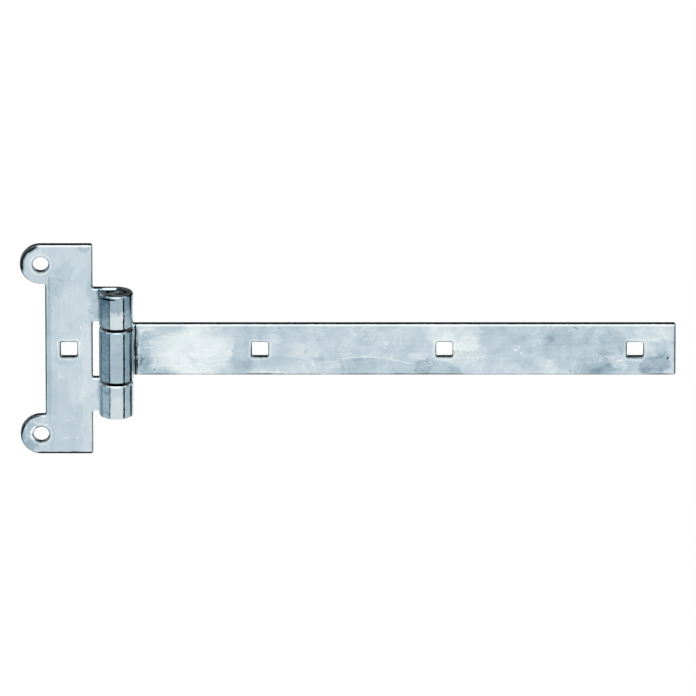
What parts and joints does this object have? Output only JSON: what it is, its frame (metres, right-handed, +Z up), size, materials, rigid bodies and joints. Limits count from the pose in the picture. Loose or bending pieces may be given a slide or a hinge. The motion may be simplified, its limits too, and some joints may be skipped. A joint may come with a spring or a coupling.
{
  "type": "tee hinge",
  "caption": "Zinc-plated tee hinge: an eared upright plate and a long flat strap with square bolt holes, both curled round a fixed pin, to hang a gate or shutter.",
  "frame": {"origin": "on the plate's back face, midway between its two round screw holes", "axes": "+X along the strap, +Y into the post that the plate is fixed to, +Z up the hinge pin"},
  "size_m": [0.3628, 0.0192, 0.123],
  "materials": {
    "zinc_plated_sheet": "bright bluish zinc plating on steel sheet, cloudy, with fine scratches and handling marks",
    "pin_steel": "zinc-plated round bar with a dull sawn end"
  },
  "bodies": {
    "fixed_leaf": {"frame_plate": "zinc_plated_sheet", "hinge_pin": "pin_steel"},
    "swinging_strap": {"strap": "zinc_plated_sheet"}
  },
  "joints": [
    {"name": "strap_swing", "type": "hinge", "parent": "fixed_leaf", "child": "swinging_strap", "pos_m": [0.0418, -0.0095, 0], "axis": [0, 0, -1], "range_deg": [-107, 195]}
  ]
}
